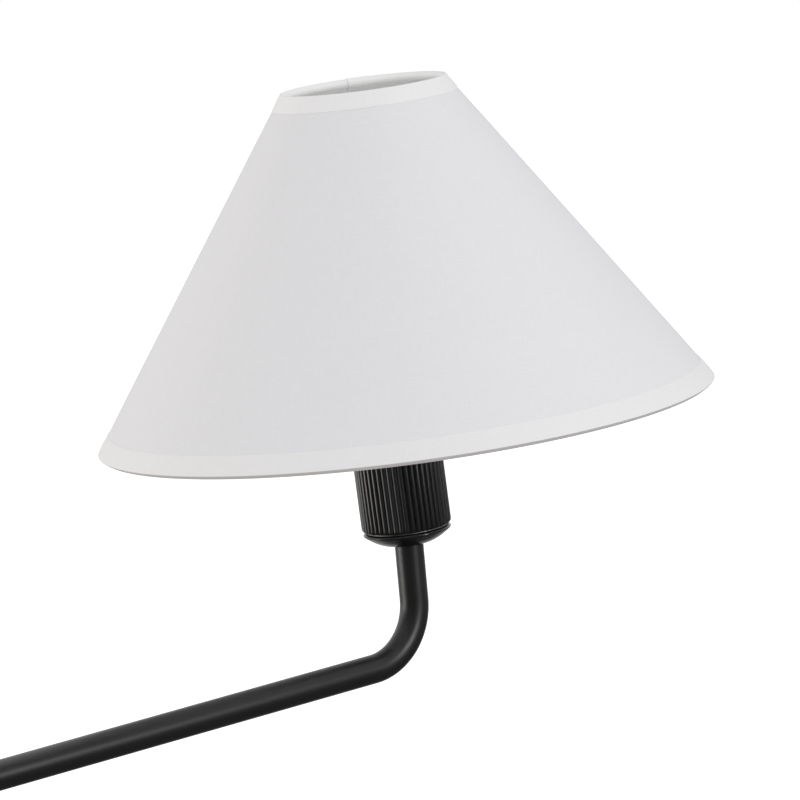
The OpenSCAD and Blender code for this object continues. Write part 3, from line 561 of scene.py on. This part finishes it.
# %% [markdown]
# ## The edge tapes
# Each edge is bound with a 20 mm cotton tape. About half of it is glued outside, then it turns under the edge
# and round the wire ring, and the rest is glued to the lining. Its section is a line folded round the wire.
# The line's corners are cut twice to soften them, as thick cloth bends, and it is given the tape's thickness.
# The glue presses its free edges down on the cloth, so it thins out there and leaves no step. They wander by
# a tenth of a millimetre or two, as a tape does that is laid by hand, and the ends lap by 9 mm.

# %% The tape's section
tape_thick = 0.25 * MM
ring_wire = 2.5 * MM
slack = 0.05 * MM
shade_wall = 0.8 * MM
flat_from = 4 * MM
fold_corner = 0.1 * MM
leaves_ring = 2 * MM
pressed_share = 0.9
pressed_points = 4


def soften(line):
    """Cuts each corner of a line at a quarter of its sides, and keeps its two ends."""
    cut = [line[0]]
    for a, b in zip(line, line[1:]):
        cut += [a.lerp(b, 0.25), a.lerp(b, 0.75)]
    return cut + [line[-1]]


def tape_section(outside, inside, lift):
    """Closed outline of the folded tape: inward from the cover's face and up from the edge."""
    half = tape_thick / 2
    face = -slack - half
    back = shade_wall + slack + half
    hug = ring_wire / 2 + slack + half
    ring = (shade_wall + slack + ring_wire / 2, ring_wire / 2)
    fold = [(face, outside), (face, flat_from), (face, fold_corner), (fold_corner, face)]
    fold += arc(ring, hug, start=-90, stop=75, step=27)
    fold += [(back, ring_wire + leaves_ring), (back, inside)]
    line = soften(soften([Vector(p) for p in fold]))
    last = len(line) - 1
    ways = [(line[min(i + 1, last)] - line[max(i - 1, 0)]).normalized() for i in range(len(line))]
    outs = [Vector((way.y, -way.x)) for way in ways]
    from_end = [min(i, last - i) for i in range(len(line))]
    pressed = [tape_thick * pressed_share * max(0, 1 - i / pressed_points) for i in from_end]
    outer = [p + (half - thin + lift) * n for p, n, thin in zip(line, outs, pressed)]
    inner = [p - (half - lift) * n for p, n in zip(line, outs)]
    return outer + inner[::-1]


print(f"tape {tape_thick / MM:.2f} mm thick round a wire of {ring_wire / MM:.1f} mm")

# %% Tape round an edge
tape_lap = 9 * MM
lap_climb = 0.3 * tape_lap
lap_lift = 0.7 * tape_thick
tape_inside = 5.8 * MM
wander_length = 9 * MM
wander_reach = 0.16 * MM
foot_tape_width, foot_tape_steps = 9.4 * MM, 300
top_tape_width, top_tape_steps = 8.2 * MM, 160


def bind_edge(name, node, cloth, at_top, start):
    """The tape of the foot or the top edge, with its lap starting at that turn."""
    edge_r = top_r if at_top else foot_r
    width = top_tape_width if at_top else foot_tape_width
    steps = top_tape_steps if at_top else foot_tape_steps
    turn_all = 2 * math.pi + tape_lap / edge_r
    climb_turn = lap_climb / edge_r
    rows = []
    for k in range(steps + 1):
        gone = turn_all * k / steps
        over = min(1, max(0, gone - 2 * math.pi + climb_turn) / climb_turn)
        place = Vector((math.cos(start + gone), math.sin(start + gone), at_top)) * edge_r / wander_length
        wander = wander_reach * noise.noise(place)
        outside = width + wander
        section = tape_section(outside, tape_inside - 2 * wander, over * lap_lift)
        points = [on_side(p.x, slant - p.y if at_top else p.y) for p in section]
        rows.append([round_axis(shade, start + gone, *p) for p in points])
    around = turn_all * edge_r / steps
    reach = [0]
    for p, q in zip(section, section[1:] + section[:1]):
        reach.append(reach[-1] + (q - p).length)
    piece = skin(name, rows, lambda row, column: ((row - steps) * around, reach[column] - outside))
    close_up(piece, open_ends=True)
    return stand_in(piece, cloth, node)


foot_lap_at = seam_turn + 0.3
top_lap_at = seam_turn - math.radians(3.3)
foot_tape = bind_edge("foot_tape", "shade_bottom_tape", foot_tape_cloth, False, foot_lap_at)
top_tape = bind_edge("top_tape", "shade_top_tape", top_tape_cloth, True, top_lap_at)

# %% [markdown]
# ## Black powder coat
# The tubes, cups and canopy are steel with a baked polyester powder: near black and satin, with a very fine
# orange peel. The lumps are drawn 0.8 mm wide, so they only soften the highlights. The eye gets a dull broad
# band from each soft box along the tube, and black everywhere else.

# %% Powder coat
def grain(tree, shader, size, height):
    """Bump of a moulded or sprayed surface, from noise with lumps of that size, both in metres."""
    place = add(tree, "TexCoord").outputs["Object"]
    lumps = add(tree, "TexNoise", {"Vector": place, "Scale": 1 / size, "Detail": 2.0})
    bump = add(tree, "Bump", {"Height": lumps.outputs[0], "Distance": height, "Strength": 1.0})
    tree.links.new(bump.outputs[0], shader.inputs["Normal"])
    return lumps.outputs[0]


def satin_black(name, colour, gloss, smooth, matt, size, height):
    """A black whose roughness wanders between two values with its own grain."""
    material, tree, shader = start_material(name, Base_Color=linear(colour), Specular_IOR_Level=gloss)
    lumps = grain(tree, shader, size, height)
    rough = add(tree, "MapRange", {"Value": lumps, "To Min": smooth, "To Max": matt})
    tree.links.new(rough.outputs[0], shader.inputs["Roughness"])
    print(name, "roughness", smooth, "to", matt)
    return material


powder_coat = satin_black(
    "black_powder_coat", "#121213", gloss=0.85, smooth=0.37, matt=0.45, size=0.8 * MM, height=0.008 * MM
)
coated = "canopy canopy_cap_nuts stem stem_collar stem_cup inner_wall_cup inner_tube"
coated += " inner_elbow_cup outer_cup"
paint(powder_coat, *coated.split())

# %% [markdown]
# ## Bent tube
# The outer tube is bent cold round a former. Steel springs back a little when the bender lets go, so the
# upright end leans outwards by a few degrees, away from the arm, instead of standing square under the dish. A
# bevel tool or a curve with a round bevel could make it. Here it is a skin again: one ring of points at each
# stop along the bend, first up the outside, then back down the bore. Its top edge is broken, and shows as a
# thin line where it meets the dish.

# %% The tube's line
tube_r = 6.35 * MM
tube_wall = 1.3 * MM
tube_bend = 27 * MM
spring_back = 2.5 * MM
elbow = middle("outer_cup")
tube_low, tube_top = levels("outer_tube")
arm_way = (head - elbow).xy.normalized().to_3d()
arm_level = tube_low + tube_r
tube_seat = min((v.co - elbow).dot(arm_way) for v in nodes["outer_tube"].data.vertices)
corner = Vector(((head - elbow).xy.length - spring_back, arm_level))
tube_end = Vector((corner.x + spring_back, tube_top))
stub_way = (tube_end - corner).normalized()
tube_turn = math.atan2(stub_way.y, stub_way.x)
bend_start = corner - Vector((tube_bend * math.tan(tube_turn / 2), 0))
print(f"the tube turns {math.degrees(tube_turn):.1f} degrees")

# %% Tube
broken_edge = 0.3 * MM
ring_points = 64
bend_steps = 32


def tube_ring(place, heading, radius):
    """A ring round the tube's line at a place in the arm's plane, square to that heading."""
    centre = Vector((elbow.x, elbow.y, 0)) + place.x * arm_way + Vector((0, 0, place.y))
    across = Vector((0, 0, 1)).cross(arm_way)
    lift = Vector((0, 0, math.cos(heading))) - math.sin(heading) * arm_way
    return [centre + radius * (math.cos(a) * lift + math.sin(a) * across) for a in even_turns(ring_points)]


stops = [(Vector((tube_seat, arm_level)), 0)]
for k in range(bend_steps + 1):
    a = tube_turn * k / bend_steps
    stops.append((bend_start + tube_bend * Vector((math.sin(a), 1 - math.cos(a))), a))
stops.append((tube_end - broken_edge * stub_way, tube_turn))
tube_rows = [tube_ring(place, a, tube_r) for place, a in stops]
tube_rows.append(tube_ring(tube_end, tube_turn, tube_r - broken_edge))
tube_rows += [tube_ring(place, a, tube_r - tube_wall) for place, a in [(tube_end, tube_turn)] + stops[::-1]]
tube_rows.append(tube_rows[0])
stand_in(skin("bent_tube", tube_rows), powder_coat, "outer_tube")

# %% [markdown]
# ## Spun dish
# The dish under the lampholder is spun from thin sheet: a shallow bowl that rises more and more steeply to
# its widest edge, a rounded shoulder above it, and two faint rings where the tool dwelt. It is turned here as
# it was on the real lathe. Its enamel is smoother than the tubes' powder, so the tube's dark reflection
# stands in the bowl. The top plate's edge is bare metal, which shows as one thin bright line under the ribs.

# %% The dish's bowl
dish = middle("lamp_dish")
dish_foot, dish_top = levels("lamp_dish")
dish_r = half_width("lamp_dish")
rim_level = dish_top - 1.4 * MM
dish_edge = 0.4 * MM
bowl_foot = 6.55 * MM
bowl_power = 1.9
tool_rings = (0.86, 0.94)
tool_ring_width = 0.012
tool_ring_height = 0.1 * MM


def bowl(share):
    """The bowl's outside at a share of its reach."""
    reach = dish_r - dish_edge / 2 - bowl_foot
    climb = rim_level - dish_edge - dish_foot
    dwell = sum(math.exp(-(((share - ring) / tool_ring_width) ** 2)) for ring in tool_rings)
    return bowl_foot + reach * share, dish_foot + climb * share**bowl_power + tool_ring_height * dwell


print(f"the bowl is {2 * dish_r / MM:.1f} mm across and {(rim_level - dish_foot) / MM:.1f} deep")

# %% Dish
enamel = satin_black(
    "black_powder_coat", "#101011", gloss=0.7, smooth=0.2, matt=0.26, size=1.5 * MM, height=0.004 * MM
)
sheet = 1.0 * MM
dish_bore = 5 * MM
plate_r = dish_r - 1.6 * MM
plate_h = 0.3 * MM
plate_in = 14.2 * MM
shoulder_w = dish_r - plate_r
shoulder_h = dish_top - plate_h - rim_level
bowl_steps = 60
dish_steps = 144

dish_outline = [(dish_bore, dish_foot)] + [bowl(k / bowl_steps) for k in range(bowl_steps + 1)]
dish_outline += arc((dish_r - dish_edge, rim_level), dish_edge, start=-20, stop=10)
for a in range(10, 90, 10):
    turn = math.radians(a)
    dish_outline.append((plate_r + shoulder_w * math.cos(turn), rim_level + shoulder_h * math.sin(turn)))
dish_outline += [(plate_r + plate_h, dish_top - plate_h), (plate_in, dish_top - plate_h)]
dish_outline += [(plate_in, dish_top - sheet), (plate_r - sheet, dish_top - sheet)]
dish_outline += [(dish_r - 2 * sheet, rim_level - dish_edge), (dish_bore, dish_foot + sheet)]
dish_outline.append((dish_bore, dish_foot))
stand_in(turned("spun_dish", dish_outline, dish, dish_steps), enamel, "lamp_dish")

# %% The plate's bare edge
bare_edge, tree, shader = start_material(
    "zinc_plated_steel", Base_Color=linear("#E2DED4"), Metallic=1.0, Roughness=0.5
)
grain(tree, shader, 0.7 * MM, 0.003 * MM)
edge_middle = (plate_r - plate_h / 2, dish_top - plate_h / 2)
plate_outline = [(plate_in, dish_top - plate_h), (edge_middle[0], dish_top - plate_h)]
plate_outline += arc(edge_middle, plate_h / 2, start=-75, stop=75, step=30)
plate_outline += [(plate_in, dish_top), (plate_in, dish_top - plate_h)]
stand_in(turned("dish_plate", plate_outline, dish, dish_steps), bare_edge, "lamp_dish")

# %% [markdown]
# ## Domed caps
# Each swivel is closed above and below by a shallow domed cap that plugs into its cup. The edge is slightly
# broken, as powder rounds it.

# %% Four caps
dome_h = 3 * MM
dome_foot = 1 * MM
dome_edge = 0.35 * MM
dome_steps = 12
cup_wall = 2.05 * MM
for node, way in (("inner_wall_cap", 1), ("outer_cup_cap", 1), ("stem_cup_cap", -1), ("inner_elbow_cap", -1)):
    low, high = levels(node)
    seat, crown = (low, high) if way > 0 else (high, low)
    cap_r = half_width(node)
    ledge = crown - way * dome_h
    outline = [(0, seat), (cap_r - cup_wall, seat), (cap_r - cup_wall, ledge), (cap_r - dome_edge, ledge)]
    outline += [(cap_r, ledge + way * dome_edge), (cap_r, ledge + way * dome_foot)]
    for k in range(1, dome_steps + 1):
        a = math.pi / 2 * k / dome_steps
        outline.append((cap_r * math.cos(a), crown - way * (dome_h - dome_foot) * (1 - math.sin(a))))
    stand_in(turned(node + "_smooth", outline, middle(node)), powder_coat, node)

# %% [markdown]
# ## Black phenolic
# Lampholders are pressed from phenolic, a hard and brittle black plastic. It comes out of a polished mould,
# so it is smoother than the powder coat, and each rib shows a thin bright line where it turns to a light.

# %% Phenolic
phenolic = satin_black(
    "black_phenolic", "#111112", gloss=0.8, smooth=0.26, matt=0.32, size=1.2 * MM, height=0.004 * MM
)
paint(phenolic, "shade_clamp_ring", "switch_knob")

# %% [markdown]
# ## Ribbed lampholder
# Forty-eight half-round ribs stand side by side round the cap. Booleans of that many rods leave long thin
# faces that shade badly, so the skin is worked out directly: at each turn the radius is that of the nearest
# rib's circle, but no more than the turned outline allows, which rounds the ribs off at both ends. Below them
# comes a recessed neck.

# %% One rib
ribs = 48
rib_depth = 0.9 * MM
ribbed_r = radius_at("lampholder_cap", head.z, reach=20 * MM)
rib_r = math.pi * (2 * ribbed_r - rib_depth) / ribs / 2


def rib_edge(turn):
    """Radius at a turn: that of the nearest rib's circle, and no less than the groove's."""
    pitch = 2 * math.pi / ribs
    off = turn % pitch - pitch / 2
    centre = ribbed_r - rib_r
    rib = centre * math.cos(off) + math.sqrt(max(0, rib_r**2 - (centre * math.sin(off)) ** 2))
    return max(ribbed_r - rib_depth, rib)


print(f"{ribs} ribs of {2 * rib_r / MM:.2f} mm on {2 * ribbed_r / MM:.1f} mm")

# %% Ribbed cap
foot_round = 1.6 * MM
top_round = 0.8 * MM
neck_h = 0.25 * MM
neck_r = 17.4 * MM
cap_wall = 2.6 * MM
cap_foot_wall = 8 * MM
bore_depth = 9 * MM
points_per_rib = 12
cap_foot, cap_top = levels("lampholder_cap")

rib_foot = cap_foot + neck_h
ribbed_outline = [(ribbed_r - cap_foot_wall, cap_foot), (neck_r, cap_foot), (neck_r, rib_foot)]
ribbed_outline += arc((ribbed_r - foot_round, rib_foot + foot_round), foot_round, start=-90, stop=0)
ribbed_outline += arc((ribbed_r - top_round, cap_top - top_round), top_round, start=0, stop=90, step=30)
ribbed_outline += [(ribbed_r - cap_wall, cap_top), (ribbed_r - cap_wall, cap_top - bore_depth)]
rib_turns = even_turns(ribs * points_per_rib)
ribbed_rows = [
    [round_axis(head, a, min(radius, rib_edge(a)), level) for a in rib_turns]
    for radius, level in ribbed_outline
]
stand_in(skin("ribbed_cap", ribbed_rows), phenolic, "lampholder_cap")

# %% [markdown]
# ## Threaded skirt
# Above the ribs the lampholder carries a coarse thread for the ring that clamps the shade. A screw thread is
# one ridge that climbs by its pitch in each turn, so the radius depends on the level and the turn together.
# The ridge's section is a steep tent with its top cut off, as a moulded thread has sloping flanks and a flat
# crest.

# %% The thread's ridge
pitch = 2 * MM
thread_depth = 0.7 * MM
tent_height = 1.6
tent_slope = 4.4
plain_end = 1 * MM
thread_fade = 2 * MM
skirt_foot, skirt_top = levels("lampholder_skirt")
upper_skirt = 6 * MM
skirt_r = radius_at("lampholder_skirt", skirt_top - upper_skirt, reach=upper_skirt)


def thread_edge(turn, level):
    """Radius of the threaded wall, with the ridge fading out near both ends."""
    climb = (level / pitch - turn / (2 * math.pi)) % 1
    ridge = min(1, max(0, tent_height - abs(climb - 0.5) * tent_slope))
    fade = min(1, max(0, min(skirt_top - level, level - cap_top) - plain_end) / thread_fade)
    return skirt_r - thread_depth * (1 - ridge * fade)


print(f"the thread is {2 * skirt_r / MM:.1f} mm across with a pitch of {pitch / MM:.0f}")

# %% Threaded skirt
thread_rows = 110
skirt_bore = radius_at("lampholder_skirt", skirt_top, pick=min)
plug_r = ribbed_r - cap_wall - slack
skirt_turns = even_turns(count=96)


def plain_row(radius, level):
    return [round_axis(head, a, radius, level) for a in skirt_turns]


skirt_rows = [plain_row(skirt_bore, skirt_foot), plain_row(plug_r, skirt_foot), plain_row(plug_r, cap_top)]
for k in range(thread_rows + 1):
    level = cap_top + (skirt_top - cap_top) * k / thread_rows
    skirt_rows.append([round_axis(head, a, thread_edge(a, level), level) for a in skirt_turns])
skirt_rows += [plain_row(skirt_bore, skirt_top), plain_row(skirt_bore, skirt_foot)]
stand_in(skin("threaded_skirt", skirt_rows), phenolic, "lampholder_skirt")

# %% [markdown]
# ## Opal bulb
# A pear-shaped glass with a white coat inside: a ball that runs into the neck by a wide fillet. It isn't lit.
# The coat scatters the light, so it looks like a dense soft white under a glossy skin.

# %% Bulb
opal, tree, shader = start_material(
    "opal_glass",
    Base_Color=linear("#F0EFEB"),
    Roughness=0.16,
    IOR=1.5,
    Subsurface_Weight=0.3,
    Subsurface_Scale=2 * MM,
)
grain(tree, shader, 9 * MM, 0.01 * MM)

bulb = middle("bulb_glass")
glass_foot, glass_top = levels("bulb_glass")
ball_r = half_width("bulb_glass")
stem_r = radius_at("bulb_glass", glass_foot)
ball_level = glass_top - ball_r
fillet = ball_r
drop = math.sqrt((ball_r + fillet) ** 2 - (stem_r + fillet) ** 2)
meet = math.degrees(math.asin(drop / (ball_r + fillet)))
bulb_outline = [(0, glass_foot), (stem_r, glass_foot)]
bulb_outline += arc((stem_r + fillet, ball_level - drop), fillet, start=180, stop=180 - meet, step=6)
bulb_outline += arc((0, ball_level), ball_r, start=-meet, stop=90, step=5)
stand_in(turned("bulb_opal_glass", bulb_outline, bulb), opal, "bulb_glass")

# %% [markdown]
# ## Finishes of the CAD pieces
# What is left keeps its CAD shape. Each finish is named for what it is, with its colour, its roughness and
# the size of its grain: plating and brass show fine rolling marks, mouldings a light texture, and wires a
# smooth skin. Most of such marks are a tenth of a millimetre wide or less, too fine to show, so they are
# drawn 0.6 to 3 mm wide.

# %% A finish with a grain
tone_span = (0.9, 1.08)
rough_span = (0.85, 1.15)


def finish(name, on, colour, roughness, size, height, **more):
    """A material whose tone and roughness wander with its grain, on the nodes that are named in one line.

    Size and height are those of the grain's lumps, and more is for the shader's other sockets.
    """
    material, tree, shader = start_material(name, **more)
    lumps = grain(tree, shader, size, height)
    tone = add(tree, "MapRange", {"Value": lumps, "To Min": tone_span[0], "To Max": tone_span[1]})
    tint = {0: 1.0, 6: linear(colour), 7: tone.outputs[0]}
    dyed = add(tree, "Mix", tint, data_type="RGBA", blend_type="MULTIPLY")
    tree.links.new(dyed.outputs[2], shader.inputs["Base Color"])
    low, high = (share * roughness for share in rough_span)
    rough = add(tree, "MapRange", {"Value": lumps, "To Min": low, "To Max": high})
    tree.links.new(rough.outputs[0], shader.inputs["Roughness"])
    paint(material, *on.split())
    print(name, "on", len(on.split()), "nodes")


# %% Metals
# Zinc plate: bright and bluish, with a slightly cloudy passivation
zinc_plated = "mounting_plate canopy_studs earth_lugs wall_spring_washer elbow_spring_washer"
zinc_plated += " wall_stop_pin elbow_stop_pin switch_nut"
finish("zinc_plated_steel", zinc_plated, "#C4C8CC", 0.32, size=1.5 * MM, height=0.004 * MM, Metallic=1.0)
# Turned brass: warm yellow, with soft machining marks
turned_brass = "stem_locknut wall_pivot wall_locknut elbow_pivot elbow_locknut lamp_nipple lamp_locknut"
turned_brass += " screw_shell centre_contact terminal_screws"
finish("brass", turned_brass, "#D2B069", 0.28, size=0.7 * MM, height=0.004 * MM, Metallic=1.0)
# Brass screw dyed green, so that the metal shines through the dye
finish("green_dyed_brass", "earth_screw", "#4C8A50", 0.35, size=0.6 * MM, height=0.004 * MM, Metallic=0.8)
# Rolled aluminium of the bulb's cap: pale and bright, with fine rolling marks
finish("aluminium", "bulb_cap", "#CBCDCF", 0.3, size=0.8 * MM, height=0.004 * MM, Metallic=1.0)

# %% Plastics, ceramic and glass
# Nylon: milky and waxy
waxy = 0.2
washers = "wall_washer elbow_washer"
finish("nylon", washers, "#E3E1DA", 0.45, size=0.8 * MM, height=0.004 * MM, Subsurface_Weight=waxy)
# Steatite: a dense cream ceramic, pressed and fired without glaze
finish("steatite", "lampholder_core", "#E6E2D8", 0.5, size=0.6 * MM, height=0.01 * MM)
# Soft PVC insulation: smooth with a dull shine
wires = "stem_cable inner_cable outer_cable canopy_leads lamp_leads"
finish("white_pvc", wires, "#E4E4E1", 0.38, size=1.2 * MM, height=0.006 * MM)
finish("green_pvc", "earth_lead", "#3E8A3A", 0.38, size=1.2 * MM, height=0.006 * MM)
# Brown phenolic of the switch, mottled by its wood flour
finish("brown_phenolic", "switch_body", "#4A3226", 0.4, size=0.9 * MM, height=0.008 * MM)
# Moulded red nylon of the twist-on connectors: even and softly glossy
finish("red_nylon", "wire_connectors", "#A92C2C", 0.42, size=0.9 * MM, height=0.006 * MM)
# Black glass round the contact at the bulb's end: smooth and shiny
finish("black_glass", "bulb_contact", "#0D0D10", 0.15, size=1.5 * MM, height=0.006 * MM)

# %% The shade's frame and lining
# White enamel dipped on the wire frame: thick, glossy and a little uneven
shade_frame = "shade_spider shade_bottom_wire shade_top_wire"
finish("white_enamel_wire", shade_frame, "#E2E2E0", 0.28, size=3 * MM, height=0.03 * MM)
# Styrene film laminated under the cotton: smooth, and greyer inside the shade
finish("styrene_lining", "shade_lining", "#EEEEEE", 0.5, size=2.5 * MM, height=0.01 * MM)

# %% Is anything left bare
bare = [name for name, node in nodes.items() if name not in painted and not node.hide_render]
print("nodes without a finish:", bare)

# %% [markdown]
# ## View transform
# The view transform is set to Standard.

# %% View transform
bpy.context.scene.view_settings.view_transform = "Standard"
